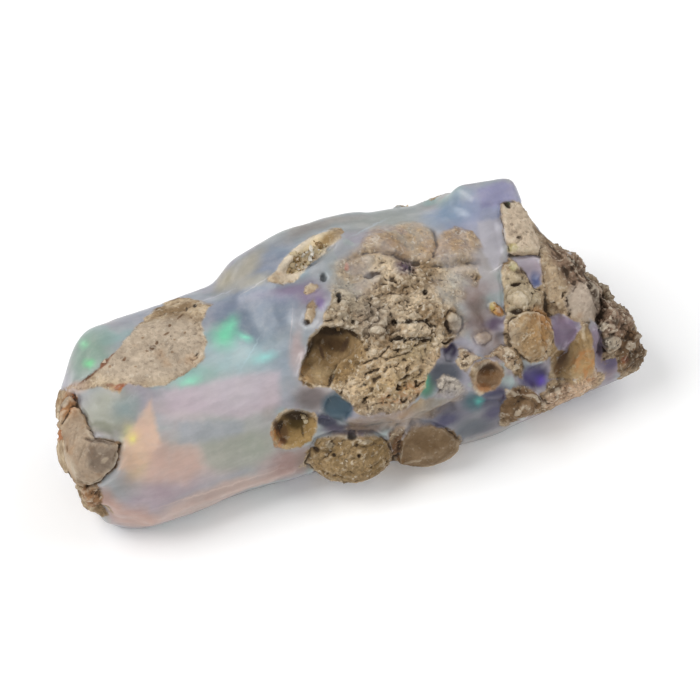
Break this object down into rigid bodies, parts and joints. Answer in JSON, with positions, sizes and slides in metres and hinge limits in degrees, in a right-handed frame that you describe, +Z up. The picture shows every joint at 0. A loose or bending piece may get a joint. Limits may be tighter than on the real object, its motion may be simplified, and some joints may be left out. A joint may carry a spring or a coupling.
{
  "type": "rough opal specimen",
  "caption": "Rough precious opal with its sandy host rock still on it: a long lump with a smooth end and a pitted end, resting on a flat underside.",
  "frame": {"origin": "on the floor, under the middle of the stone's bounding box", "axes": "+X along the stone, from its smooth opal end to its rocky end; -Y towards the side that shows the opal and the host rock; +Z up"},
  "size_m": [0.0416, 0.0178, 0.0135],
  "materials": {
    "opal_in_host_rock": null
  },
  "bodies": {
    "root": {"rough_opal": "opal_in_host_rock"}
  },
  "joints": []
}
